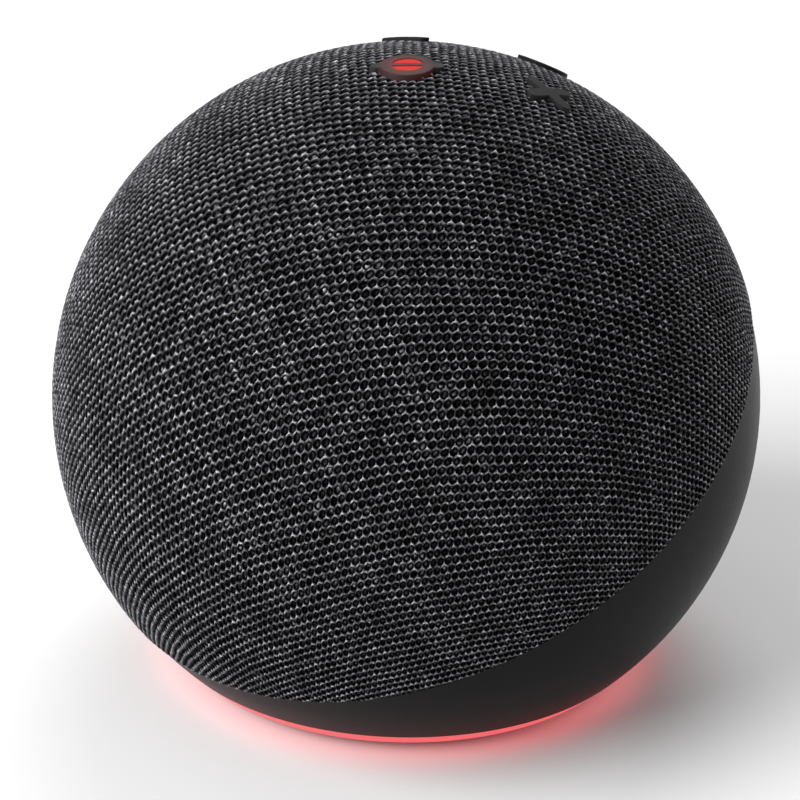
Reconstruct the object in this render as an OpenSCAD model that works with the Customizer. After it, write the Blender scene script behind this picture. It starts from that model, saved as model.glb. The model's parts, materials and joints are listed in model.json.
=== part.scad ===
// Ball-shaped smart home hub. Millimetres, +Z up, front towards -Y.
// The origin is the centre of the foot's resting face.

/* [Ball] */
// Outer radius of the fabric-covered ball
ball_r = 50; // [49.5:0.1:50.5]
// Height of the ball's centre above the surface it stands on
centre_h = 39; // [38.5:0.1:39.5]
// Lean of the fabric cap's axis towards the front, degrees
cap_tilt = 30.8; // [28:0.2:33]
// Distance from the ball's centre down to the cap's edge
cap_drop = 4; // [3:0.1:5]
// Thickness of the knitted fabric
fabric_t = 0.65; // [0.5:0.05:0.8]
// Gap between the fabric and the dome under it
fabric_gap = 0.25; // [0.2:0.05:0.3]
// Wall of the perforated dome
dome_t = 1.9; // [1.7:0.1:2.1]
// How far the moulded housing lies below the fabric's outer face
housing_step = 0.5; // [0.4:0.05:0.6]
// Wall of the moulded housing
housing_t = 2.2; // [2:0.1:2.4]

/* [Base] */
// Height of the light ring's upper edge
ring_top_h = 4; // [3.9:0.05:4.1]
// Height of the light ring's lower edge
ring_low_h = 1.9; // [1.8:0.05:2]
// Radius of the rubber foot
foot_r = 29.5; // [28:0.1:29.8]
// Thickness of the rubber foot
foot_t = 1.6; // [1.5:0.05:1.7]
// Number of light-emitting diodes behind the ring
led_count = 12; // [8:1:16]

/* [Buttons] */
// Lean of the button group's axis towards the back, degrees
deck_tilt = 14.8; // [14:0.1:16]
// Angle from the group's axis to each button, degrees
button_spread = 16.1; // [15:0.1:16.5]
// Height of the button symbols above the fabric
button_proud = 0.5; // [0.45:0.05:0.8]
// Travel of each button
button_travel = 0.5; // [0.4:0.05:0.5]
// Length of the plus and minus bars
bar_len = 8.1; // [7.8:0.1:8.6]
// Width of the plus and minus bars
bar_w = 1.9; // [1.7:0.1:2.3]
// Diameter of the round buttons
round_d = 7.4; // [7:0.1:7.8]
// Length of the slash across the microphone button
slash_len = 10; // [9.6:0.1:10.6]
// Diameter of the lit window in the microphone button
lens_d = 4.1; // [3.8:0.1:4.4]
// Clearance around each symbol in the dome and the fabric
button_gap = 0.35; // [0.3:0.05:0.4]

/* [Loudspeaker] */
// Upward tilt of the loudspeaker's axis from the front, degrees
driver_tilt = 20; // [18:0.5:22]
// Distance from the ball's centre to the speaker chamber's front face
chamber_front = 33.5; // [33:0.1:33.8]
// Outer radius of the speaker chamber
chamber_r = 24; // [23.8:0.1:24.2]
// Angle between neighbouring rings of sound holes, degrees
hole_pitch = 7; // [6.8:0.1:7.1]
// Rings of sound holes around the middle one
hole_rings = 4; // [3:1:4]

/* [Boards and ports] */
// Radius of the main circuit board
board_r = 33; // [31:0.5:33.5]
// Height of the main board's underside
board_h = 9; // [9:0.1:9.2]
// Height of the power and audio sockets' axes
port_h = 15.5; // [15.3:0.1:15.7]
// Distance of each socket from the middle plane
port_x = 6.5; // [6.3:0.1:6.8]
// Hole radius of the power socket
power_bore_r = 2.85; // [2.8:0.01:2.9]
// Hole radius of the audio socket
audio_bore_r = 1.8; // [1.78:0.01:1.85]

/* [Hidden] */
$fn = 96;
slop = 0.02;                                    // between a screw and its thread
dome_out_r = ball_r - fabric_t - fabric_gap;
dome_in_r = dome_out_r - dome_t;
housing_out_r = ball_r - housing_step;
housing_in_r = housing_out_r - housing_t;
seam_gap = 0.15;
lip_out_r = dome_in_r - 0.3;
lip_in_r = lip_out_r - 1.1;
big = 2.4 * ball_r;

ring_seat_r = 31;                               // the housing's opening around the base
ring_bore_r = 30.8;
guide_in_r = 28.5;
guide_low_h = 3.25;
guide_top_h = 4.5;
plate_r = 30.5;
plate_top_h = foot_t + 1.6;
led_board_h = 4.6;
led_board_t = 1;
boss_at = 22.5;
boss_r = 2.8;
board_t = 1.6;
board_top = board_h + board_t;
small_shank_r = 0.8;
large_shank_r = 1.05;

button_r = ball_r * sin(button_spread);         // from the deck axis to each button
flange_r = 5.12;                                // clear of the slash's tips at every length
flange_out_r = dome_in_r - 0.4;
flange_in_r = flange_out_r - 1.6;
stem_r = 1.5;
stem_low = 39.25;
guide_play = 0.06;
carrier_low = 39.4;
carrier_t = 1;
carrier_r = 19.5;
top_board_top = 36;
top_board_r = 19;
switch_h = 2.2;
dome_contact_top = stem_low - button_travel - 0.05;
deck_screw_at = 16.5;
mic_at = 9;

chamber_wall = 1.8;
chamber_back = -5;
chamber_flange_r = 28.9;
chamber_flange_t = 2;
chamber_screw_at = 26.5;
gasket_t = 0.5;
basket_front = chamber_front + gasket_t;
basket_t = 1.2;
basket_screw_at = 25.6;
plate_front = 20.5;                             // front of the magnet system
plate_back = 18;
magnet_back = 11.5;
coil_in_r = 6.6;
coil_out_r = 7;
coil_clear = 0.4;

port_floor_y = 39.6;                            // floor of the recess around the sockets
port_back_y = 36.8;
port_mouth_y = port_floor_y - 0.2;
port_body_y = [24, 35.6];
power_mouth_l = 3.6;
power_throat_r = 2.35;                          // the socket behind its mouth
power_pin_r = 1;

// ---- Frames: each turns its children so that their +Z is that assembly's own axis

module cap_frame() {
    translate([0, 0, centre_h]) rotate([cap_tilt, 0, 0]) children();
}

module deck_frame() {
    translate([0, 0, centre_h]) rotate([-deck_tilt, 0, 0]) children();
}

module driver_frame() {
    translate([0, 0, centre_h]) rotate([90 - driver_tilt, 0, 0]) children();
}

// One copy at each of four places, a quarter turn apart, beginning at angle first
module quarters(first, at_r) {
    for (i = [0:3]) rotate([0, 0, first + 90 * i]) translate([at_r, 0, 0]) children();
}

// ---- Shared shapes

module tube(out_r, in_r, low, high) {
    translate([0, 0, low]) difference() {
        cylinder(r = out_r, h = high - low);
        translate([0, 0, -1]) cylinder(r = in_r, h = high - low + 2);
    }
}

module rod(r, low, high) {
    translate([0, 0, low]) cylinder(r = r, h = high - low);
}

module slab(size, at, low, high) {
    translate([at.x - size.x / 2, at.y - size.y / 2, low]) cube([size.x, size.y, high - low]);
}

module ball_shell(out_r, in_r) {
    difference() {
        sphere(r = out_r);
        sphere(r = in_r);
    }
}

// Keeps what lies above a level, in the frame it is used in
module above(level) {
    intersection() {
        children();
        translate([-big, -big, level]) cube([2 * big, 2 * big, 2 * big]);
    }
}

module below(level) {
    intersection() {
        children();
        translate([-big, -big, level - 2 * big]) cube([2 * big, 2 * big, 2 * big]);
    }
}

// Pan-head screw, its head resting on level and its shank running down for length
module screw(head_r, head_h, shank_r, length) {
    rod(head_r, 0, head_h);
    rod(shank_r, -length, 0.01);
}

// Outline of a bar with round ends
module bar_outline(length, width) {
    square([length - width, width], center = true);
    for (side = [-1, 1]) translate([side * (length - width) / 2, 0]) circle(d = width);
}

// ---- Button symbols: outlines grown by grow on every side

module minus_outline(grow = 0) {
    bar_outline(bar_len + 2 * grow, bar_w + 2 * grow);
}

module plus_outline(grow = 0) {
    minus_outline(grow);
    rotate([0, 0, 90]) minus_outline(grow);
}

module round_outline(grow = 0) {
    circle(d = round_d + 2 * grow);
}

module mute_outline(grow = 0) {
    round_outline(grow);
    rotate([0, 0, 45]) bar_outline(slash_len + 2 * grow, bar_w + 2 * grow);
}

// The two half-moons of the lit window, on either side of the slash
module lens_outline(grow = 0) {
    slash_line_w = 1;
    rotate([0, 0, 45]) difference() {
        circle(d = lens_d + 2 * grow);
        square([2 * lens_d, slash_line_w - 2 * grow], center = true);
    }
}

function button_at(turn) = [button_r * cos(turn), button_r * sin(turn), 0];
VOLUME_UP = button_at(0);
ACTION = button_at(90);
VOLUME_DOWN = button_at(180);
MUTE = button_at(270);

// A prism of the outline along the deck's axis, through the whole skin of the ball
module through_skin(at) {
    translate([at.x, at.y, flange_in_r - 12]) linear_extrude(height = 24) children();
}

module button_openings() {
    deck_frame() {
        through_skin(VOLUME_UP) plus_outline(button_gap);
        through_skin(VOLUME_DOWN) minus_outline(button_gap);
        through_skin(ACTION) round_outline(button_gap);
        through_skin(MUTE) mute_outline(button_gap);
    }
}

// A button: its symbol through the skin, a retaining flange under the dome, and a stem
module button(at) {
    deck_frame() {
        intersection() {
            through_skin(at) children();
            ball_shell(ball_r + button_proud, flange_in_r + 0.8);
        }
        intersection() {
            translate([at.x, at.y, 0]) rod(flange_r, flange_in_r - 8, ball_r);
            ball_shell(flange_out_r, flange_in_r);
        }
        translate([at.x, at.y, 0]) rod(stem_r, stem_low, flange_in_r - 1);
    }
}

// ---- Skin

module fabric_cover() {
    color([0.13, 0.13, 0.14]) difference() {
        cap_frame() above(-cap_drop) ball_shell(ball_r, ball_r - fabric_t);
        button_openings();
    }
}

// Radial sound holes in rings around the loudspeaker's axis
module sound_holes() {
    hole_r = 1.6;
    for (ring = [0:hole_rings]) for (i = [0:max(1, 6 * ring) - 1])
        rotate([0, 0, i * 60 / max(1, ring)]) rotate([0, ring * hole_pitch, 0])
            rod(hole_r, dome_in_r - 3, ball_r + 1);
}

module grille_dome() {
    boss_in = 2.4;
    color([0.16, 0.16, 0.17]) difference() {
        union() {
            cap_frame() above(-cap_drop) ball_shell(dome_out_r, dome_in_r);
            intersection() {
                translate([0, 0, centre_h]) sphere(r = dome_out_r - 0.5);
                union() {
                    driver_frame() quarters(45, chamber_screw_at) rod(boss_in, chamber_front, ball_r);
                    deck_frame() quarters(45, deck_screw_at)
                        rod(boss_in, carrier_low + carrier_t, ball_r);
                }
            }
        }
        driver_frame() {
            sound_holes();
            quarters(45, chamber_screw_at) rod(small_shank_r + slop, chamber_front - 1, 38.4);
        }
        deck_frame() quarters(45, deck_screw_at)
            rod(small_shank_r + slop, carrier_low, 43.8);
        button_openings();
    }
}

// Outline of the recess around the two sockets, drawn as seen from behind
module port_recess() {
    translate([0, port_floor_y, port_h]) rotate([-90, 0, 0])
        linear_extrude(height = ball_r) bar_outline(27, 10.4);
}

module rear_housing() {
    web_low = 6.2;
    web_top = 8.8;
    power_hole_r = 4.2;
    audio_hole_r = 3.2;
    color([0.2, 0.2, 0.21]) difference() {
        union() {
            above(ring_top_h + 0.05) cap_frame() below(-cap_drop - seam_gap)
                ball_shell(housing_out_r, housing_in_r);
            // Lip that the dome snaps over
            above(ring_top_h + 0.05) cap_frame() above(-cap_drop - 4) below(-cap_drop + 3)
                ball_shell(lip_out_r, lip_in_r);
            above(ring_top_h + 0.05) cap_frame() above(-cap_drop - 4) below(-cap_drop - 0.6)
                ball_shell(housing_in_r + 0.3, lip_in_r);
            intersection() {
                translate([0, 0, centre_h]) sphere(r = housing_in_r + 0.6);
                union() {
                    tube(ball_r, ring_seat_r, ring_top_h + 0.05, ring_top_h + 1.6);
                    quarters(45, boss_at) slab([20, 3], [10, 0], web_low, web_top);
                    slab([31, 12], [0, port_back_y + 6], port_h - 6, port_h + 6);
                }
            }
            quarters(45, boss_at) rod(boss_r, plate_top_h, board_h);
        }
        quarters(45, boss_at) rod(large_shank_r + slop, 0, board_h + 1);
        port_recess();
        for (port = [[-port_x, power_hole_r], [port_x, audio_hole_r]])
            translate([port[0], 0, port_h]) rotate([-90, 0, 0]) rod(port[1], port_back_y - 1, ball_r);
    }
}

// ---- Base

module light_ring() {
    color([1, 0.3, 0.34]) difference() {
        union() {
            intersection() {
                translate([0, 0, centre_h]) sphere(r = housing_out_r);
                rod(ball_r, ring_low_h, ring_top_h - 0.05);
            }
            rod(ring_bore_r, guide_low_h, guide_top_h);
        }
        rod(ring_bore_r, 0, guide_low_h);
        rod(guide_in_r, 0, guide_top_h + 1);
    }
}

module base_plate() {
    head_sink = 0.95;
    post_at = 26.6;
    color([0.1, 0.1, 0.11]) difference() {
        union() {
            rod(plate_r, foot_t, plate_top_h);
            for (i = [0:3]) rotate([0, 0, 90 * i]) translate([post_at, 0, 0])
                rod(0.6, plate_top_h - 0.1, led_board_h);
        }
        quarters(45, boss_at) {
            rod(large_shank_r + 0.15, 0, plate_top_h + 1);
            rod(2.3, foot_t - 1, foot_t + head_sink);
        }
    }
}

module foot_pad() {
    groove_out_r = 21.4;
    groove_in_r = 20.6;
    bevel = 0.4;
    color([0.07, 0.07, 0.07]) difference() {
        rotate_extrude() polygon([[0, 0], [foot_r - bevel, 0], [foot_r, bevel],
            [foot_r, foot_t], [0, foot_t]]);
        tube(groove_out_r, groove_in_r, -1, 0.5);
    }
}

module led_board() {
    color([0.1, 0.3, 0.16]) tube(29.8, 25.7, led_board_h, led_board_h + led_board_t);
}

module ring_leds() {
    led_size = [1.3, 2];
    led_t = 1.1;
    color([0.95, 0.93, 0.85]) for (i = [0:led_count - 1])
        rotate([0, 0, (i + 0.5) * 360 / led_count])
            slab(led_size, [27.65, 0], led_board_h - led_t, led_board_h);
}

module base_screws() {
    color([0.6, 0.6, 0.62]) quarters(45, boss_at) translate([0, 0, foot_t + 0.95])
        mirror([0, 0, 1]) screw(2, 0.9, large_shank_r, 4.2);
}

// ---- Buttons and the parts under them

module volume_up_button() {
    color([0.25, 0.25, 0.26]) button(VOLUME_UP) plus_outline();
}

module volume_down_button() {
    color([0.25, 0.25, 0.26]) button(VOLUME_DOWN) minus_outline();
}

module action_button() {
    color([0.25, 0.25, 0.26]) button(ACTION) round_outline();
}

lens_floor_r = ball_r - 1.6;

module mute_button() {
    color([0.25, 0.25, 0.26]) difference() {
        button(MUTE) mute_outline();
        deck_frame() difference() {
            through_skin(MUTE) lens_outline(0.05);
            sphere(r = lens_floor_r);
        }
    }
}

module mute_lens() {
    color([0.95, 0.15, 0.1]) deck_frame() intersection() {
        through_skin(MUTE) lens_outline();
        ball_shell(ball_r + button_proud - 0.15, lens_floor_r + 0.1);
    }
}

module button_carrier() {
    guide_top = 41.1;
    color([0.3, 0.3, 0.32]) deck_frame() difference() {
        union() {
            rod(carrier_r, carrier_low, carrier_low + carrier_t);
            quarters(0, button_r) rod(2.6, carrier_low, guide_top);
            quarters(45, deck_screw_at) rod(2.2, top_board_top, carrier_low + 0.1);
        }
        quarters(0, button_r) rod(stem_r + guide_play, carrier_low - 1, guide_top + 1);
        quarters(45, deck_screw_at) rod(1, top_board_top - 1, carrier_low + carrier_t + 1);
        quarters(45, mic_at) rod(0.6, carrier_low - 1, carrier_low + carrier_t + 1);
        for (side = [-1, 1]) translate([4 * side, MUTE.y, 0])
            rod(0.9, carrier_low - 1, carrier_low + carrier_t + 1);
    }
}

module top_board() {
    color([0.1, 0.3, 0.16]) deck_frame() difference() {
        rod(top_board_r, top_board_top - board_t, top_board_top);
        quarters(45, deck_screw_at) rod(1, top_board_top - 3, top_board_top + 1);
    }
}

module tact_switches() {
    color([0.55, 0.55, 0.57]) deck_frame() quarters(0, button_r)
        slab([5, 5], [0, 0], top_board_top, top_board_top + switch_h);
}

module switch_domes() {
    color([0.15, 0.15, 0.15]) deck_frame() quarters(0, button_r)
        rod(1.1, top_board_top + switch_h, dome_contact_top);
}

module microphones() {
    color([0.75, 0.7, 0.5]) deck_frame() quarters(45, mic_at)
        slab([3.8, 3], [0, 0], top_board_top, top_board_top + 1);
}

module mic_gaskets() {
    color([0.12, 0.12, 0.12]) deck_frame() quarters(45, mic_at)
        tube(1.4, 0.5, top_board_top + 1, carrier_low);
}

module mute_leds() {
    color([1, 0.6, 0.5]) deck_frame() for (side = [-1, 1])
        slab([1.6, 0.9], [4 * side, MUTE.y], top_board_top, top_board_top + 0.7);
}

module deck_screws() {
    color([0.6, 0.6, 0.62]) deck_frame() quarters(45, deck_screw_at)
        translate([0, 0, top_board_top - board_t]) mirror([0, 0, 1])
            screw(1.9, 1.2, small_shank_r, 8.5);
}

// ---- Loudspeaker, along its own axis

module speaker_chamber() {
    color([0.28, 0.28, 0.3]) driver_frame() difference() {
        union() {
            rod(chamber_r, chamber_back, chamber_front);
            rod(chamber_flange_r, chamber_front - chamber_flange_t, chamber_front);
        }
        rod(chamber_r - chamber_wall, chamber_back + chamber_wall, chamber_front + 1);
        quarters(45, chamber_screw_at) rod(1, chamber_front - 4, chamber_front + 1);
        quarters(0, basket_screw_at) rod(small_shank_r + slop, chamber_front - 4, chamber_front + 1);
    }
}

module driver_gasket() {
    color([0.1, 0.1, 0.1]) driver_frame() tube(23.8, 22.4, chamber_front, basket_front);
}

module driver_basket() {
    window_count = 6;
    front = basket_front + basket_t;
    ledge = 23.4;
    color([0.35, 0.36, 0.38]) driver_frame() difference() {
        union() {
            rotate_extrude() polygon([[9.5, plate_front], [13.8, plate_front], [13.8, 22],
                [21.4, basket_front], [23.8, basket_front], [23.8, front], [18.2, front],
                [18.2, basket_front], [19.9, basket_front], [13.75, ledge], [12.2, ledge],
                [12.2, ledge - 0.6], [12.6, ledge - 0.6], [12.6, 21.7], [9.5, 21.7]]);
            difference() {
                quarters(0, basket_screw_at) rod(2.2, basket_front, front);
                rod(23, basket_front - 1, front + 1);
            }
        }
        quarters(0, basket_screw_at) rod(1, basket_front - 1, front + 1);
        for (i = [0:window_count - 1]) rotate([0, 0, (i + 0.5) * 360 / window_count])
            slab([14, 7], [20, 0], 25, 32.5);
    }
}

module driver_pole() {
    color([0.55, 0.56, 0.58]) driver_frame() {
        rod(13.5, magnet_back - 2, magnet_back);
        rod(coil_in_r - coil_clear, magnet_back - 0.1, plate_front);
    }
}

module driver_magnet() {
    color([0.18, 0.18, 0.2]) driver_frame() tube(13, 8.6, magnet_back, plate_back);
}

module driver_top_plate() {
    color([0.6, 0.6, 0.62]) driver_frame()
        tube(12.5, coil_out_r + 0.2 + coil_clear, plate_back, plate_front);
}

module voice_coil() {
    color([0.75, 0.45, 0.2]) driver_frame() {
        tube(coil_out_r, coil_in_r, 15.5, 25.8);
        tube(coil_out_r + 0.2, coil_out_r - 0.1, 17, 21.5);
    }
}

module driver_cone() {
    neck_r = coil_out_r + 0.05;
    color([0.12, 0.12, 0.12]) driver_frame() rotate_extrude() polygon([[neck_r, 25],
        [neck_r, 25.9], [15.9, 34.4], [17.6, 34.9], [17.6, 34.4], [16.2, 33.8]]);
}

module dust_cap() {
    cap_r = 15.6;
    cap_base = 27;
    cap_rise = 2.2;
    color([0.14, 0.14, 0.14]) driver_frame() above(cap_base)
        translate([0, 0, cap_base + cap_rise - cap_r]) ball_shell(cap_r, cap_r - 0.4);
}

module driver_surround() {
    roll_at = 18.9;
    roll_r = 1.9;
    skin = 0.4;
    front = basket_front + basket_t;
    color([0.08, 0.08, 0.08]) driver_frame() rotate_extrude() {
        difference() {
            translate([roll_at, front]) circle(r = roll_r);
            translate([roll_at, front]) circle(r = roll_r - skin);
            translate([roll_at - 3, front - 3]) square([6, 3]);
        }
        translate([16.2, 34.95]) square([roll_at - roll_r + skin - 16.2, 0.6]);
        translate([roll_at + roll_r - skin, front]) square([22 - roll_at - roll_r + skin, skin]);
    }
}

// Corrugated disc that centres the coil
module driver_spider() {
    skin = 0.35;
    wave = 0.35;
    level = 23.8;
    inner = coil_out_r + 0.1;
    outer = 13.2;
    steps = 24;
    function crest(i) = [inner + (outer - inner) * i / steps, level + wave * sin(i * 45)];
    color([0.7, 0.6, 0.35]) driver_frame() rotate_extrude() polygon(concat(
        [for (i = [0:steps]) crest(i)],
        [for (i = [steps:-1:0]) crest(i) + [0, skin]]));
}

module driver_screws() {
    color([0.6, 0.6, 0.62]) driver_frame() quarters(0, basket_screw_at)
        translate([0, 0, basket_front + basket_t]) screw(1.7, 1, small_shank_r, 3.6);
}

module chamber_screws() {
    color([0.6, 0.6, 0.62]) driver_frame() quarters(45, chamber_screw_at)
        translate([0, 0, chamber_front - chamber_flange_t]) mirror([0, 0, 1])
            screw(1.9, 1.3, small_shank_r, 6.4);
}

// ---- Main board

module main_board() {
    color([0.1, 0.3, 0.16]) difference() {
        rod(board_r, board_h, board_top);
        quarters(45, boss_at) rod(1.2, board_h - 1, board_top + 1);
    }
}

shield_h = 2;
pad_h = 0.5;
shield_at = [0, -5];

module processor_shield() {
    color([0.7, 0.7, 0.72]) slab([22, 22], shield_at, board_top, board_top + shield_h);
}

module radio_shield() {
    color([0.7, 0.7, 0.72]) slab([12, 14], [-23, -4], board_top, board_top + 1.8);
}

module thermal_pad() {
    color([0.6, 0.7, 0.8])
        slab([18, 18], shield_at, board_top + shield_h, board_top + shield_h + pad_h);
}

module heat_spreader() {
    plate_low = board_top + shield_h + pad_h;
    color([0.75, 0.76, 0.78]) difference() {
        slab([30, 32], [0, -4], plate_low, plate_low + 1);
        quarters(45, boss_at) rod(3, plate_low - 1, plate_low + 2);
    }
}

module amplifier_chips() {
    color([0.08, 0.08, 0.08]) {
        slab([6, 6], [22, -11], board_top, board_top + 1);
        slab([7, 5], [24, 2], board_top, board_top + 1);
        slab([6, 6], [-20, 8], board_top, board_top + 3);
    }
}

module capacitors() {
    can_r = 2.5;
    can_h = 5.5;
    color([0.45, 0.45, 0.5]) for (at = [[28, -4], [24, 9], [-10, -26], [10, -26]])
        translate([at.x, at.y, 0]) rod(can_r, board_top, board_top + can_h);
}

// Turns +Z to +Y, so that a rod runs towards the back at a socket's place
module port_frame(x) {
    translate([x, 0, port_h]) rotate([-90, 0, 0]) children();
}

module power_jack() {
    nose_r = 3.95;
    color([0.06, 0.06, 0.06]) difference() {
        union() {
            slab([9, port_body_y[1] - port_body_y[0]], [-port_x, (port_body_y[0] + port_body_y[1]) / 2],
                board_top, port_h + 4.7);
            port_frame(-port_x) rod(nose_r, port_body_y[1] - 0.1, port_mouth_y);
        }
        port_frame(-port_x) {
            rod(power_bore_r, port_mouth_y - power_mouth_l, ball_r);
            rod(power_throat_r, port_body_y[0] + 3, port_mouth_y - power_mouth_l + 0.1);
            rod(power_pin_r + slop, port_body_y[0] + 1, port_body_y[0] + 4);
        }
    }
}

module power_jack_pin() {
    color([0.8, 0.75, 0.5]) port_frame(-port_x)
        rod(power_pin_r, port_body_y[0] + 1.5, port_mouth_y - power_mouth_l - 0.4);
}

module audio_jack() {
    nose_r = 2.95;
    color([0.06, 0.06, 0.06]) difference() {
        union() {
            slab([6.4, port_body_y[1] - port_body_y[0]], [port_x, (port_body_y[0] + port_body_y[1]) / 2],
                board_top, port_h + 3.2);
            port_frame(port_x) rod(nose_r, port_body_y[1] - 0.1, port_mouth_y);
        }
        port_frame(port_x) rod(audio_bore_r, port_body_y[0] + 1.5, ball_r);
    }
}

module board_screws() {
    color([0.6, 0.6, 0.62]) quarters(45, boss_at) translate([0, 0, board_top])
        screw(1.9, 1.2, large_shank_r, 3.6);
}

// Flexible aerials stuck to the inside of the housing, one on each side
module wifi_antennas() {
    film_out_r = housing_in_r - 0.3;
    color([0.8, 0.6, 0.3]) intersection() {
        translate([0, 0, centre_h]) ball_shell(film_out_r, film_out_r - 0.5);
        translate([-ball_r, 12, 20]) cube([2 * ball_r, 14, 12]);
    }
}

connector_top = board_top + 1.6;
flex_end = [0, 19];
leads_end = [-10, 16];

module cable_connectors() {
    color([0.9, 0.88, 0.8]) {
        slab([12, 3.4], flex_end, board_top, connector_top);
        slab([5, 3.4], leads_end, board_top, connector_top);
    }
}

// A flat cable of a given width and thickness along a route in the Y-Z plane
module flat_cable(route, x, width, thick) {
    last = len(route) - 1;
    function along(i) = route[min(i + 1, last)] - route[max(i - 1, 0)];
    function side(i) = [-along(i).y, along(i).x] / norm(along(i)) * thick / 2;
    translate([x - width / 2, 0, 0]) rotate([90, 0, 90]) linear_extrude(height = width)
        polygon(concat([for (i = [0:last]) route[i] + side(i)],
            [for (i = [last:-1:0]) route[i] - side(i)]));
}

module top_flex_cable() {
    color([0.85, 0.6, 0.25]) flat_cable([[23.5, 67.8], [24.3, 65], [25.5, 58], [26, 48], [25, 38],
        [22.5, 28], [20, 20], [19, 14], [19, connector_top + 0.05]], flex_end.x, 10, 0.3);
}

module speaker_leads() {
    color([0.6, 0.1, 0.1]) flat_cable([[1.45, 27.8], [5, 26.4], [9.5, 23.5], [13, 19.5], [15.5, 15.5],
        [16, connector_top + 0.05]], leads_end.x, 2.4, 1.1);
}

fabric_cover();
grille_dome();
rear_housing();
light_ring();
base_plate();
foot_pad();
volume_up_button();
volume_down_button();
mute_button();
mute_lens();
action_button();
button_carrier();
top_board();
tact_switches();
switch_domes();
microphones();
mic_gaskets();
mute_leds();
deck_screws();
speaker_chamber();
driver_gasket();
driver_basket();
driver_pole();
driver_magnet();
driver_top_plate();
voice_coil();
driver_cone();
dust_cap();
driver_surround();
driver_spider();
driver_screws();
chamber_screws();
main_board();
processor_shield();
radio_shield();
thermal_pad();
heat_spreader();
amplifier_chips();
capacitors();
power_jack();
power_jack_pin();
audio_jack();
board_screws();
led_board();
ring_leds();
base_screws();
wifi_antennas();
cable_connectors();
top_flex_cable();
speaker_leads();
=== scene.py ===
"""Ball-shaped smart home hub: knitted cover, moulded housing, lit ring and symbol buttons."""
import json
import math

import bpy
import numpy as np
from mathutils import Matrix, Vector

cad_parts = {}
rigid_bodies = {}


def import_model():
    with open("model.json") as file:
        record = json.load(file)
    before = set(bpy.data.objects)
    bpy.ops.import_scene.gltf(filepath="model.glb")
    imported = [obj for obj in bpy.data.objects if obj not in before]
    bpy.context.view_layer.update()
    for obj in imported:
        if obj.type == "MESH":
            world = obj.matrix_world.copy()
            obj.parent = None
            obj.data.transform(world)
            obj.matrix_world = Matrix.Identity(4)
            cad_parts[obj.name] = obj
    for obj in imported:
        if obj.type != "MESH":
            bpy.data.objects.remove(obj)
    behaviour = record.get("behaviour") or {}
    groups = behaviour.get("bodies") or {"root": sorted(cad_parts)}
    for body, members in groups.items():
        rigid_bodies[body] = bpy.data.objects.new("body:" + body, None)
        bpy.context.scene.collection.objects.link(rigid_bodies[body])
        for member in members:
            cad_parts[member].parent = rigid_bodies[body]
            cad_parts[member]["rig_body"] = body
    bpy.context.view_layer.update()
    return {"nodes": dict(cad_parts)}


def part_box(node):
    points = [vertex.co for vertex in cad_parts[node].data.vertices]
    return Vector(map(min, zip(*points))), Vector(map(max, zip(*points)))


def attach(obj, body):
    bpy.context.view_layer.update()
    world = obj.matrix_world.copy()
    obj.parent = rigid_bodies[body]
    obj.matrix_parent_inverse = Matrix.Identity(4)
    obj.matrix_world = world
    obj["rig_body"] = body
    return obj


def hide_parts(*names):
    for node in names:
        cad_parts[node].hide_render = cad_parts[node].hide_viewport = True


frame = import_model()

MM = 0.001
NODES = frame["nodes"]

# ---- The ball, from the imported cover

cover_low, cover_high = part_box("fabric_cover")
BALL_R = round((cover_high.x - cover_low.x) / 2, 3)
CENTRE = Vector((0, 0, round(cover_high.z, 3) - BALL_R))

CAP_TILT = math.radians(30.8)       # lean of the cap's axis towards the front
CAP_DROP = 4 * MM                   # from the ball's centre down to the cap's edge
DECK_TILT = math.radians(14.8)      # lean of the button group's axis towards the back
BUTTON_SPREAD = math.radians(16.1)  # from that axis to each button
BUTTON_AT = BALL_R * math.sin(BUTTON_SPREAD)
BAR_LEN, BAR_W = 8.1 * MM, 1.9 * MM
ROUND_R = 3.7 * MM
SLASH_LEN = 10 * MM

# ---- Camera

CAMERA_AZIMUTH = math.radians(45.1)
CAMERA_ELEVATION = math.radians(25.95)
CAMERA_ROLL = math.radians(0.87)
CAMERA_DISTANCE = 0.6
LENS_MM = 191.65
LENS_SHIFT = (-0.0098, -0.0046)


def camera_axes():
    """Right, up and backward directions of the camera."""
    a, e = CAMERA_AZIMUTH, CAMERA_ELEVATION
    back = Vector((math.sin(a) * math.cos(e), -math.cos(a) * math.cos(e), math.sin(e)))
    right = Vector((math.cos(a), math.sin(a), 0))
    up = back.cross(right)
    c, s = math.cos(CAMERA_ROLL), math.sin(CAMERA_ROLL)
    return c * right + s * up, c * up - s * right, back


def make_camera():
    right, up, back = camera_axes()
    data = bpy.data.cameras.new("camera")
    data.lens = LENS_MM
    data.sensor_width = 36
    data.shift_x, data.shift_y = LENS_SHIFT
    data.clip_start, data.clip_end = 0.01, 20
    camera = bpy.data.objects.new("camera", data)
    turn = Matrix((right, up, back)).transposed().to_4x4()
    camera.matrix_world = Matrix.Translation(CENTRE + CAMERA_DISTANCE * back) @ turn
    bpy.context.scene.collection.objects.link(camera)
    bpy.context.scene.camera = camera


# ---- Materials

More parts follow.
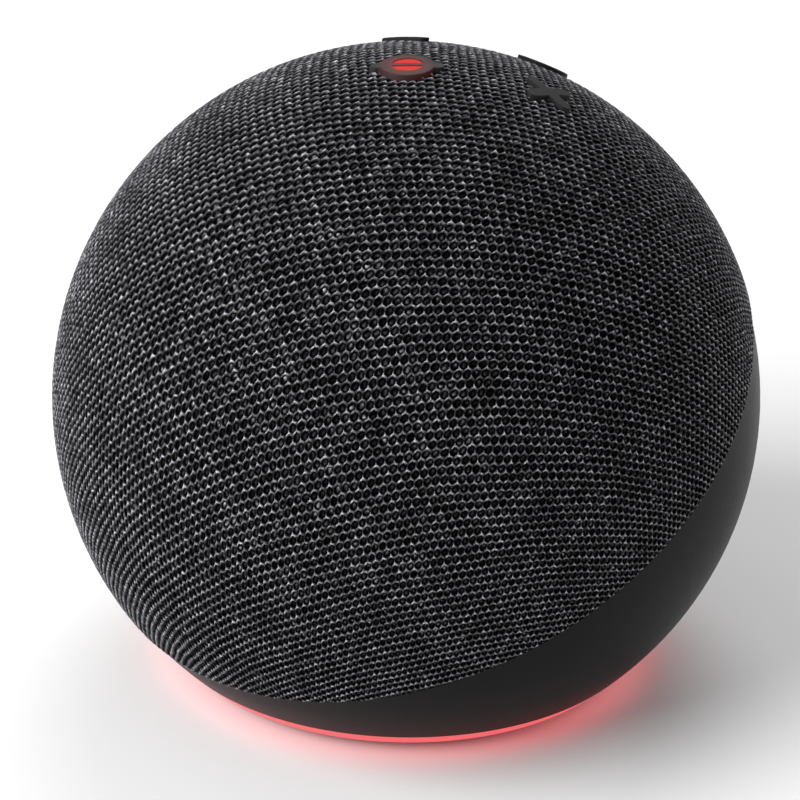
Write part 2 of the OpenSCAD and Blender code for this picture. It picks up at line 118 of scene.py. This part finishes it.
class Nodes:
    """Short calls for building one material's node tree."""

    def __init__(self, name):
        self.material = bpy.data.materials.new(name)
        self.material.use_nodes = True
        self.tree = self.material.node_tree
        self.shader = self.tree.nodes["Principled BSDF"]

    def add(self, kind, **values):
        node = self.tree.nodes.new(kind)
        for key, value in values.items():
            if key in node.inputs:
                node.inputs[key].default_value = value
            else:
                setattr(node, key, value)
        return node

    def link(self, a, b):
        self.tree.links.new(a, b)

    def set(self, **values):
        for key, value in values.items():
            self.shader.inputs[key.replace("_", " ")].default_value = value

    def coordinates(self):
        return self.add("ShaderNodeTexCoord").outputs["Object"]

    def noise(self, scale, detail=3.0, vector=None):
        node = self.add("ShaderNodeTexNoise", Scale=scale, Detail=detail)
        self.link(vector or self.coordinates(), node.inputs["Vector"])
        return node.outputs["Fac"]

    def spread(self, fac, low, high, start=0.0, end=1.0):
        """Maps fac from start..end to low..high."""
        node = self.add("ShaderNodeMapRange")
        self.link(fac, node.inputs["Value"])
        node.inputs["From Min"].default_value = start
        node.inputs["From Max"].default_value = end
        node.inputs["To Min"].default_value = low
        node.inputs["To Max"].default_value = high
        return node.outputs["Result"]

    def times(self, a, b):
        node = self.add("ShaderNodeMath", operation="MULTIPLY")
        self.link(a, node.inputs[0])
        self.link(b, node.inputs[1])
        return node.outputs[0]

    def power(self, a, exponent):
        node = self.add("ShaderNodeMath", operation="POWER")
        self.link(a, node.inputs[0])
        node.inputs[1].default_value = exponent
        return node.outputs[0]

    def mix(self, fac, a, b):
        node = self.add("ShaderNodeMix", data_type="RGBA")
        self.link(fac, node.inputs["Factor"])
        for socket, colour in ((node.inputs[6], a), (node.inputs[7], b)):
            if hasattr(colour, "links"):
                self.link(colour, socket)
            else:
                socket.default_value = (*colour, 1)
        return node.outputs[2]

    def bump(self, height, strength, distance):
        node = self.add("ShaderNodeBump", Strength=strength, Distance=distance)
        self.link(height, node.inputs["Height"])
        self.link(node.outputs["Normal"], self.shader.inputs["Normal"])


def grey(value):
    return (value, value, value)


def moulded(name, dark, light, roughness, specular=0.5, grain=2500, depth=0.00002):
    """Moulded plastic or rubber: fine spark-eroded grain and faint mottling."""
    m = Nodes(name)
    mottle = m.noise(90, 2)
    m.link(m.mix(mottle, dark, light), m.shader.inputs["Base Color"])
    m.link(m.spread(m.noise(grain / 3), roughness - 0.05, roughness + 0.05),
           m.shader.inputs["Roughness"])
    m.set(Specular_IOR_Level=specular)
    m.bump(m.noise(grain, 4), 0.35, depth)
    return m.material


def metal(name, colour, roughness, stretch=(1, 1, 12)):
    """Plated or brushed metal, with streaks along one direction."""
    m = Nodes(name)
    mapping = m.add("ShaderNodeMapping")
    mapping.inputs["Scale"].default_value = stretch
    m.link(m.coordinates(), mapping.inputs["Vector"])
    streaks = m.noise(400, 5, mapping.outputs["Vector"])
    darker = tuple(0.75 * c for c in colour)
    m.link(m.mix(streaks, darker, colour), m.shader.inputs["Base Color"])
    m.link(m.spread(streaks, roughness - 0.08, roughness + 0.1), m.shader.inputs["Roughness"])
    m.set(Metallic=1.0)
    m.bump(streaks, 0.1, 0.00002)
    return m.material


def circuit_board():
    """Green solder mask with copper tracks showing through."""
    m = Nodes("circuit_board")
    bricks = m.add("ShaderNodeTexBrick", Scale=260.0)
    m.link(m.coordinates(), bricks.inputs["Vector"])
    bricks.inputs["Mortar Size"].default_value = 0.06
    bricks.inputs["Color1"].default_value = (0.008, 0.07, 0.03, 1)
    bricks.inputs["Color2"].default_value = (0.01, 0.09, 0.04, 1)
    bricks.inputs["Mortar"].default_value = (0.03, 0.16, 0.06, 1)
    m.link(bricks.outputs["Color"], m.shader.inputs["Base Color"])
    m.link(m.spread(m.noise(700), 0.3, 0.45), m.shader.inputs["Roughness"])
    m.bump(bricks.outputs["Fac"], 0.3, 0.00003)
    return m.material


def glowing(name, low, high, body, strength):
    """Translucent plastic lit from behind, a little uneven along its length."""
    m = Nodes(name)
    m.link(m.mix(m.noise(70, 1), low, high), m.shader.inputs["Emission Color"])
    m.link(m.mix(m.noise(300), body, tuple(0.8 * c for c in body)), m.shader.inputs["Base Color"])
    m.link(m.spread(m.noise(900), 0.3, 0.45), m.shader.inputs["Roughness"])
    m.set(Emission_Strength=strength, Specular_IOR_Level=0.05)
    return m.material


def woven(name, dark, light, pitch):
    """Woven cloth stiffened with resin."""
    m = Nodes(name)
    waves = []
    for direction in ("X", "Y"):
        wave = m.add("ShaderNodeTexWave", Scale=1 / pitch, bands_direction=direction)
        m.link(m.coordinates(), wave.inputs["Vector"])
        waves.append(wave.outputs["Fac"])
    both = m.times(*waves)
    m.link(m.mix(both, dark, light), m.shader.inputs["Base Color"])
    m.set(Roughness=0.8)
    m.bump(both, 0.6, 0.0001)
    return m.material


def smoky_rubber():
    """Translucent rubber around the mute light, which glows through it near the window."""
    m = Nodes("smoky_rubber")
    low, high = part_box("mute_lens")
    away = m.add("ShaderNodeVectorMath", operation="DISTANCE")
    m.link(m.coordinates(), away.inputs[0])
    away.inputs[1].default_value = (low + high) / 2
    glow = m.spread(away.outputs["Value"], 1, 0, 0.0022, 0.0042)
    uneven = m.times(glow, m.spread(m.noise(600), 0.7, 1.2))
    m.link(m.mix(uneven, (0, 0, 0), (0.11, 0.012, 0.01)), m.shader.inputs["Emission Color"])
    m.link(m.mix(glow, grey(0.018), (0.024, 0.014, 0.014)), m.shader.inputs["Base Color"])
    m.link(m.spread(m.noise(900), 0.45, 0.6), m.shader.inputs["Roughness"])
    m.set(Emission_Strength=1.0, Specular_IOR_Level=0.15)
    return m.material


def knit_yarn():
    """Charcoal polyester yarn with its own tone per stitch; that tone also holds painted
    highlights and painted shade.
    """
    m = Nodes("knit_yarn")
    tone = m.add("ShaderNodeAttribute", attribute_name="tone").outputs["Fac"]
    fibres = m.noise(5200, 4)
    # Raising the tone to a power deepens the painted shade in the holes.
    contrast_tone = m.power(tone, 2.4)
    # Fine noise speckle in the colour is painted glints, over random fibre tone.
    tone_and_painted_light = m.times(contrast_tone, m.spread(m.noise(3800, 2), 0.25, 1.75, 0.3, 0.7))
    # Dark end: painted shade of the holes; light end: painted highlights of the loop heads and
    # random tone.
    colour = m.mix(tone_and_painted_light, (0.0004, 0.0004, 0.0005), (0.71, 0.7, 0.77))
    m.link(colour, m.shader.inputs["Base Color"])
    m.link(m.spread(fibres, 0.42, 0.62), m.shader.inputs["Roughness"])
    m.link(m.spread(tone, 0.0, 0.4), m.shader.inputs["Specular IOR Level"])
    m.bump(fibres, 0.5, 0.00006)
    return m.material


# ---- Knitted cover

WALE_PITCH = 1.754 * MM             # from hole to hole, front to back
COURSE_STEP = 1.02 * MM             # between neighbouring columns of holes
KNIT_TILT = math.radians(33.1)      # lean of the place where the knit lies unstretched
KNIT_GATHER = 0.016                 # how much it bunches towards the cap's edge
SIDES = 12                          # points around each hole
CREST_R = 0.54                      # mean radii, in units of the distance between holes
SHOULDER_R = 0.415
HOLE_R = 0.34
RIDGE_HALF = 0.17                   # half the length of the floor's ridge, in the same units
HOLE_DEPTH = 0.40 * MM
FLOOR_DEPTH = 0.30 * MM
CELL_TONE_SPREAD = 0.2              # spreads: how much neighbouring stitches differ
HOLE_SIZE_SPREAD = 0.06
HOLE_PLACE_SPREAD = 0.025
RIDGE_TURN_SPREAD = 0.5             # radians
# The floor's strand has a lower tone than the crest: partly its own tone, partly painted shade of
# its depth.
RIDGE_TONE, RIDGE_TONE_SPREAD = 0.2, 0.5
RIDGE_DEPTH_SPREAD = 0.1 * MM
POINT_DEPTH_SPREAD = 0.025 * MM
POINT_TONE_SPREAD = 0.25
POINT_PLACE_SPREAD = 0.022 * MM
KNIT_R = BALL_R - 0.02 * MM
CAP_EDGE = math.asin(CAP_DROP / BALL_R) + math.pi / 2   # angle from the cap's axis to its edge
EDGE_SPARE = 0.03                   # angle beyond the edge over which holes are still laid out
SHEET_REACH = 1.85                  # half the side of the layout, in ball radii
EDGE_ROLL = 0.9 * MM                # radius of the turned-in edge
EDGE_SINK = 0.55 * MM
CUT_GAP = 0.06 * MM                 # between the knit and a button
RING_ANGLES = np.radians(np.arange(SIDES) * 360 / SIDES)


def tilted_axes(tilt):
    """Axis leaning by tilt towards the front, with its sideways and rearward directions."""
    pole = np.array([0, -math.sin(tilt), math.cos(tilt)])
    side = np.array([1.0, 0, 0])
    return pole, side, np.cross(pole, side)


def flat_to_ball(flat):
    """Directions from the ball's centre for points of the flat knit."""
    pole, side, rear = tilted_axes(KNIT_TILT)
    rho = np.hypot(flat[:, 0], flat[:, 1]) / KNIT_R
    phi = rho.copy()
    for _ in range(6):
        phi -= (phi + KNIT_GATHER * phi ** 3 - rho) / (1 + 3 * KNIT_GATHER * phi ** 2)
    turn = np.arctan2(flat[:, 1], flat[:, 0])
    along = np.cos(turn)[:, None] * side + np.sin(turn)[:, None] * rear
    return np.cos(phi)[:, None] * pole + np.sin(phi)[:, None] * along


def hole_centres():
    """Centres of the knit's holes over the flat sheet, columns offset by half a pitch."""
    reach = SHEET_REACH * KNIT_R
    columns = int(reach / COURSE_STEP) + 1
    rows = int(reach / WALE_PITCH) + 1
    i, j = np.meshgrid(np.arange(-columns, columns + 1), np.arange(-rows, rows + 1))
    i, j = i.ravel(), j.ravel()
    centres = np.stack([i * COURSE_STEP, (j + 0.5 * (i % 2)) * WALE_PITCH], 1)
    pole = tilted_axes(CAP_TILT)[0]
    return centres[flat_to_ball(centres) @ pole > math.cos(CAP_EDGE + EDGE_SPARE)]


def ring_radii():
    """Distance of the shared crest from a hole's centre: corners and mid-edges in turn."""
    corner, middle = 1 / math.sqrt(3), 0.5
    return np.where(np.arange(SIDES) % 2 == 0, corner, middle)


def sway(flat):
    """Slow wandering of the courses, so that no row is quite straight."""
    x, y = flat[:, 0] / MM, flat[:, 1] / MM
    dx = 0.10 * np.sin(0.31 * y + 0.9) + 0.07 * np.sin(0.83 * y + 0.4 * x)
    dy = 0.12 * np.sin(0.27 * x + 2.1) + 0.07 * np.sin(0.71 * x - 0.33 * y)
    return np.stack([dx, dy], 1) * MM


def streaks(flat):
    """Slow changes of tone from course to course."""
    x, y = flat[:, 0] / MM, flat[:, 1] / MM
    return 1 + 0.05 * np.sin(0.9 * x) * np.sin(0.23 * x + 1) + 0.04 * np.sin(0.31 * y + 0.17 * x)


def bar_distance(p, length, width):
    half = (length - width) / 2
    x = np.maximum(np.abs(p[:, 0]) - half, 0)
    return np.hypot(x, p[:, 1]) - width / 2


def turned(p, angle):
    c, s = math.cos(angle), math.sin(angle)
    return np.stack([c * p[:, 0] + s * p[:, 1], c * p[:, 1] - s * p[:, 0]], 1)


def minus_distance(p):
    return bar_distance(p, BAR_LEN, BAR_W)


def plus_distance(p):
    return np.minimum(minus_distance(p), minus_distance(p[:, ::-1]))


def round_distance(p):
    return np.hypot(p[:, 0], p[:, 1]) - ROUND_R


def mute_distance(p):
    slash = bar_distance(turned(p, math.radians(45)), SLASH_LEN, BAR_W)
    return np.minimum(round_distance(p), slash)


BUTTON_SHAPES = (plus_distance, round_distance, minus_distance, mute_distance)


def clear_of_buttons(points):
    """Moves points that lie under a button out to its edge; returns them and which they were."""
    axis, side, rear = tilted_axes(-DECK_TILT)
    local = np.stack([points @ side, points @ rear, points @ axis], 1)
    radius = np.linalg.norm(local, axis=1)
    under = np.zeros(len(points), bool)
    for quarter, distance in enumerate(BUTTON_SHAPES):
        angle = quarter * math.pi / 2
        at = BUTTON_AT * np.array([math.cos(angle), math.sin(angle)])
        near = (np.hypot(*(local[:, :2] - at).T) < SLASH_LEN) & (local[:, 2] > 0)
        place = np.flatnonzero(near)
        for _ in range(4):
            p = local[place, :2] - at
            d = distance(p)
            step = 0.01 * MM
            slope = np.stack([distance(p + [step, 0]) - d, distance(p + [0, step]) - d], 1)
            slope /= np.maximum(np.linalg.norm(slope, axis=1), 1e-12)[:, None]
            inside = d < CUT_GAP
            under[place[inside]] |= d[inside] < 0.5 * CUT_GAP
            move = np.where(inside, CUT_GAP - d, 0)[:, None] * slope
            local[place, :2] += move
    flat_r = np.hypot(local[:, 0], local[:, 1])
    local[:, 2] = np.sqrt(np.maximum(radius ** 2 - flat_r ** 2, 0)) * np.sign(local[:, 2])
    back = local[:, :1] * side + local[:, 1:2] * rear + local[:, 2:] * axis
    return np.where(under[:, None], back, points), under


def roll_edge(directions, radii):
    """Turns the cap's edge in; returns new directions, radii and which points lay beyond it."""
    pole = tilted_axes(CAP_TILT)[0]
    phi = np.arccos(np.clip(directions @ pole, -1, 1))
    beyond = phi > CAP_EDGE
    along = directions - np.cos(phi)[:, None] * pole
    along /= np.linalg.norm(along, axis=1)[:, None]
    kept = np.minimum(phi, CAP_EDGE)
    directions = np.cos(kept)[:, None] * pole + np.sin(kept)[:, None] * along
    into = np.clip(1 - (CAP_EDGE - phi) * BALL_R / EDGE_ROLL, 0, 1)
    drop = EDGE_SINK * (1 - np.sqrt(1 - into ** 2))
    return directions, np.minimum(radii, KNIT_R - drop), beyond


def around_hole(angles, values):
    """Values given at a few angles (degrees) around a hole, for each of its points."""
    return np.interp(np.degrees(RING_ANGLES), angles, values, period=360)


def knit_points(centres, rng):
    """Flat places, depths and tones of every cell's points: crest, shoulder, hole, floor.

    The head of each loop arches over the rear of its hole, raised, with a painted highlight in
    its tone;
    the legs that run down both sides lie lower, with painted shade in their tone.
    """
    count = len(centres)
    scale = np.array([COURSE_STEP / (math.sqrt(3) / 2), WALE_PITCH])
    unit = np.stack([np.cos(RING_ANGLES), np.sin(RING_ANGLES)], 1)
    radii = ring_radii()
    cell_tone = rng.lognormal(0.0, CELL_TONE_SPREAD, (count, 1))
    size = 1 + HOLE_SIZE_SPREAD * rng.standard_normal((count, 1, 1))
    crest = centres[:, None] + scale * unit * radii[:, None]
    crest_depth = MM * around_hole([0, 30, 60, 90, 120, 150],
                                   [-0.03, 0.16, 0.08, 0.01, -0.03, 0.01])
    # Painted highlight: crest tone set by angle around the hole, pale where the loop heads face
    # the light.
    crest_painted_highlight = around_hole(
        [0, 30, 60, 90, 120, 150, 180, 210, 240, 270, 300, 330],
        [0.74, 0.13, 0.32, 0.57, 0.74, 0.6, 0.32, 0.13, 0.74, 0.57, 0.32, 0.6])
    shoulder = centres[:, None] + scale * unit * (SHOULDER_R * radii / CREST_R)[:, None]
    shoulder_depth = around_hole([30, 90, 150, 210, 300], [0.24, 0.08, 0.08, 0.24, 0.2]) * MM
    # Painted light and shade: the shoulder is lighter on the side the key light comes from.
    shoulder_painted_light = around_hole([30, 60, 120, 180, 210, 300], [0.07, 0.2, 0.4, 0.2, 0.07, 0.1])
    offset = HOLE_PLACE_SPREAD * rng.standard_normal((count, 1, 2)) * scale
    hole = centres[:, None] + offset + scale * unit * HOLE_R * size
    lean = math.pi / 2 + RIDGE_TURN_SPREAD * rng.standard_normal(count)
    half = RIDGE_HALF * scale * np.stack([np.cos(lean), np.sin(lean)], 1)
    floor = centres[:, None] + offset + np.stack([half, -half], 1)
    floor_tone = RIDGE_TONE * rng.lognormal(0, RIDGE_TONE_SPREAD, (count, 2))
    floor_depth = FLOOR_DEPTH + RIDGE_DEPTH_SPREAD * rng.standard_normal((count, 2))
    rings = [
        (crest, crest_depth, np.ones((count, 1)) * crest_painted_highlight),
        (shoulder, shoulder_depth, cell_tone * shoulder_painted_light),
        # Painted shade: the rim of each hole is black.
        (hole, HOLE_DEPTH, np.zeros((count, SIDES))),
        (floor, floor_depth, floor_tone),
    ]
    flat = np.concatenate([r[0] for r in rings], 1)
    depth = np.concatenate([np.broadcast_to(r[1], r[0].shape[:2]) for r in rings], 1)
    tones = np.concatenate([r[2] for r in rings], 1)
    return flat.reshape(-1, 2), depth.ravel().copy(), tones.ravel(), flat.shape[1]


def cell_faces(count, per_cell):
    """Quads of the two bands and triangles of the floor, for every cell."""
    k = np.arange(SIDES)
    after = (k + 1) % SIDES
    quads = [np.stack([band * SIDES + k, band * SIDES + after,
                       (band + 1) * SIDES + after, (band + 1) * SIDES + k], 1)
             for band in range(2)]
    rear_end, front_end = 3 * SIDES, 3 * SIDES + 1
    tip = np.where(k < SIDES // 2, rear_end, front_end)
    floor = np.stack([2 * SIDES + k, 2 * SIDES + after, tip], 1)
    closing = np.array([[2 * SIDES + SIDES // 2, front_end, rear_end],
                        [2 * SIDES, rear_end, front_end]])
    start = np.arange(count)[:, None, None] * per_cell
    quads = (np.concatenate(quads)[None] + start).reshape(-1, 4)
    triangles = (np.concatenate([floor, closing])[None] + start).reshape(-1, 3)
    return quads, triangles


def mesh_from_arrays(name, points, quads, triangles):
    mesh = bpy.data.meshes.new(name)
    mesh.vertices.add(len(points))
    mesh.vertices.foreach_set("co", points.astype(np.float32).ravel())
    loops = np.concatenate([quads.ravel(), triangles.ravel()]).astype(np.int32)
    mesh.loops.add(len(loops))
    mesh.loops.foreach_set("vertex_index", loops)
    starts = np.concatenate([np.arange(len(quads)) * 4,
                             len(quads) * 4 + np.arange(len(triangles)) * 3]).astype(np.int32)
    mesh.polygons.add(len(starts))
    mesh.polygons.foreach_set("loop_start", starts)
    mesh.update(calc_edges=True)
    mesh.validate()
    mesh.polygons.foreach_set("use_smooth", np.ones(len(mesh.polygons), bool))
    return mesh


def merged(flat, faces):
    """Joins points that lie in the same place; returns which to keep and the new faces."""
    keys = np.round(flat / (0.001 * MM)).astype(np.int64)
    joined = keys[:, 0] * 10_000_000 + keys[:, 1]
    _, keep, where = np.unique(joined, return_index=True, return_inverse=True)
    return keep, [where.ravel()[f] for f in faces]


def knit_cover():
    """The cover: one relief of yarn loops around rounded holes, stretched over the dome."""
    rng = np.random.default_rng(11)
    centres = hole_centres()
    flat, depth, tone, per_cell = knit_points(centres, rng)
    keep, (quads, triangles) = merged(flat, cell_faces(len(centres), per_cell))
    flat, depth, tone = flat[keep], depth[keep], tone[keep]
    depth += POINT_DEPTH_SPREAD * rng.standard_normal(len(flat))
    tone *= rng.lognormal(0, POINT_TONE_SPREAD, len(flat)) * streaks(flat)
    jitter = POINT_PLACE_SPREAD * rng.standard_normal(flat.shape)
    directions = flat_to_ball(flat + sway(flat) + jitter)
    directions, radii, beyond = roll_edge(directions, KNIT_R - np.maximum(depth, 0))
    points, under = clear_of_buttons(directions * radii[:, None])
    gone = beyond | under
    quads = quads[~gone[quads].all(1)]
    triangles = triangles[~gone[triangles].all(1)]
    used = np.zeros(len(points), bool)
    used[quads.ravel()] = True
    used[triangles.ravel()] = True
    renumber = np.cumsum(used) - 1
    quads, triangles = renumber[quads], renumber[triangles]
    points, flat, tone = points[used], flat[used], tone[used]
    mesh = mesh_from_arrays("knit_cover", points + np.array(CENTRE), quads, triangles)
    # The tone attribute holds random stitch tone together with painted highlights and painted
    # shade.
    attribute = mesh.attributes.new("tone", "FLOAT", "POINT")
    attribute.data.foreach_set("value", np.clip(tone, 0, 1).astype(np.float32))
    indices = np.zeros(len(mesh.loops), np.int32)
    mesh.loops.foreach_get("vertex_index", indices)
    span = 2 * np.abs(flat).max() * 1.01
    uv = mesh.uv_layers.new(name="OFBake")
    uv.data.foreach_set("uv", (flat[indices] / span + 0.5).astype(np.float32).ravel())
    mesh.materials.append(knit_yarn())
    piece = bpy.data.objects.new("knit_cover", mesh)
    bpy.context.scene.collection.objects.link(piece)
    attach(piece, "hub")
    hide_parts("fabric_cover")


# ---- Buttons, with rounded edges

ROUNDING_VOXEL = 0.1 * MM
ROUNDING_PASSES = 8


def softened(node, material):
    """A copy of a CAD node with its edges rounded, standing for that node."""
    source = NODES[node]
    piece = bpy.data.objects.new(node + "_moulded", source.data.copy())
    bpy.context.scene.collection.objects.link(piece)
    remesh = piece.modifiers.new("remesh", "REMESH")
    remesh.mode = "VOXEL"
    remesh.voxel_size = ROUNDING_VOXEL
    smooth = piece.modifiers.new("smooth", "SMOOTH")
    smooth.iterations = ROUNDING_PASSES
    smooth.factor = 0.5
    graph = bpy.context.evaluated_depsgraph_get()
    mesh = bpy.data.meshes.new_from_object(piece.evaluated_get(graph))
    piece.modifiers.clear()
    piece.data = mesh
    mesh.materials.clear()
    mesh.materials.append(material)
    mesh.polygons.foreach_set("use_smooth", np.ones(len(mesh.polygons), bool))
    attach(piece, source["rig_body"])
    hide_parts(node)
    return piece


def make_buttons():
    rubber = moulded("button_rubber", grey(0.011), grey(0.015), 0.6, 0.15, 1800)
    for node in ("volume_up_button", "volume_down_button", "action_button"):
        softened(node, rubber)
    softened("mute_button", smoky_rubber())


# ---- Finish of every CAD node

def dress(material, *names):
    for name in names:
        mesh = NODES[name].data
        mesh.materials.clear()
        mesh.materials.append(material)


def shade_smooth():
    for node in NODES.values():
        node.data.polygons.foreach_set("use_smooth", np.ones(len(node.data.polygons), bool))
        node.data.update()


def dress_nodes():
    black = moulded("black_plastic", grey(0.008), grey(0.013), 0.5)
    dark = moulded("grey_plastic", grey(0.03), grey(0.045), 0.5)
    rubber = moulded("soft_rubber", grey(0.012), grey(0.02), 0.7, 0.3)
    dress(moulded("housing_plastic", grey(0.0062), grey(0.0072), 0.4, 0.06, 3800, 0.00001),
          "rear_housing")
    dress(moulded("dome_plastic", grey(0.008), grey(0.012), 0.6, 0.3), "grille_dome")
    dress(moulded("foot_rubber", grey(0.008), grey(0.013), 0.75, 0.3, 1500, 0.00005), "foot_pad")
    dress(black, "base_plate", "speaker_chamber", "switch_domes", "amplifier_chips",
          "power_jack", "audio_jack")
    dress(dark, "button_carrier", "driver_basket")
    dress(rubber, "driver_gasket", "driver_surround", "mic_gaskets")
    dress(circuit_board(), "main_board", "top_board", "led_board")
    dress(metal("zinc_steel", (0.55, 0.55, 0.56), 0.35), "deck_screws", "driver_screws",
          "chamber_screws", "board_screws", "base_screws", "driver_pole", "driver_top_plate",
          "tact_switches")
    dress(metal("tinned_shield", (0.62, 0.62, 0.63), 0.28, (1, 1, 1)), "processor_shield",
          "radio_shield")
    dress(metal("brushed_aluminium", (0.75, 0.76, 0.78), 0.32, (1, 14, 1)), "heat_spreader",
          "capacitors")
    dress(metal("gold_plate", (0.8, 0.62, 0.28), 0.25, (1, 1, 1)), "power_jack_pin",
          "microphones")
    dress(moulded("ferrite", grey(0.02), grey(0.035), 0.55, 0.5, 900, 0.00006), "driver_magnet")
    dress(moulded("cone_paper", grey(0.012), grey(0.02), 0.8, 0.3, 1200, 0.0001), "driver_cone",
          "dust_cap")
    dress(woven("spider_cloth", (0.2, 0.14, 0.05), (0.5, 0.38, 0.16), 0.0005), "driver_spider")
    dress(metal("enamelled_wire", (0.65, 0.28, 0.1), 0.3, (1, 1, 30)), "voice_coil")
    dress(moulded("thermal_silicone", (0.35, 0.42, 0.5), (0.42, 0.5, 0.58), 0.7, 0.3),
          "thermal_pad")
    dress(moulded("led_package", (0.7, 0.67, 0.55), (0.8, 0.77, 0.66), 0.4), "ring_leds",
          "mute_leds", "cable_connectors")
    dress(moulded("polyimide_film", (0.5, 0.22, 0.05), (0.6, 0.3, 0.08), 0.3), "wifi_antennas",
          "top_flex_cable")
    dress(moulded("lead_jacket", (0.3, 0.01, 0.01), (0.38, 0.02, 0.02), 0.5), "speaker_leads")
    dress(glowing("ring_diffuser", (0.82, 0.1, 0.115), (0.87, 0.135, 0.14), grey(0.02), 1.0),
          "light_ring")
    dress(glowing("lit_window", (0.72, 0.01, 0.004), (0.78, 0.02, 0.008), grey(0.006), 1.0),
          "mute_lens")


# ---- Floor and lights

FLOOR_HALF_SIDE = 6.0
WORLD_STRENGTH = 0.35


def make_floor():
    side = FLOOR_HALF_SIDE
    mesh = bpy.data.meshes.new("floor")
    corners = [(-side, -side, 0), (side, -side, 0), (side, side, 0), (-side, side, 0)]
    mesh.from_pydata(corners, [], [(0, 1, 2, 3)])
    m = Nodes("floor_paper")
    m.link(m.mix(m.noise(4), grey(0.94), grey(0.96)), m.shader.inputs["Base Color"])
    m.set(Roughness=0.9, Specular_IOR_Level=0.1)
    mesh.materials.append(m.material)
    floor = bpy.data.objects.new("floor", mesh)
    bpy.context.scene.collection.objects.link(floor)


def area_light(name, direction, distance, size, power):
    data = bpy.data.lights.new(name, "AREA")
    data.shape = "DISK"
    data.size = size
    data.energy = power
    lamp = bpy.data.objects.new(name, data)
    lamp.location = CENTRE + direction.normalized() * distance
    lamp.rotation_mode = "QUATERNION"
    lamp.rotation_quaternion = direction.to_track_quat("Z", "Y")
    bpy.context.scene.collection.objects.link(lamp)


def make_lights():
    right, up, back = camera_axes()
    area_light("key", -0.8 * right + 0.4 * up + 0.65 * back, 1.2, 1.1, 18)
    area_light("top", 0.1 * right + 0.95 * up - 0.3 * back, 1.2, 0.8, 5.5)
    area_light("rim", 0.8 * right + 0.55 * up - 0.6 * back, 1.4, 1.0, 3)
    world = bpy.data.worlds.new("studio")
    bpy.context.scene.world = world
    world.use_nodes = True
    background = world.node_tree.nodes["Background"]
    background.inputs["Color"].default_value = (1, 1, 1, 1)
    background.inputs["Strength"].default_value = WORLD_STRENGTH


make_camera()
make_floor()
make_lights()
bpy.context.scene.view_settings.view_transform = "Standard"
shade_smooth()
dress_nodes()
make_buttons()
knit_cover()
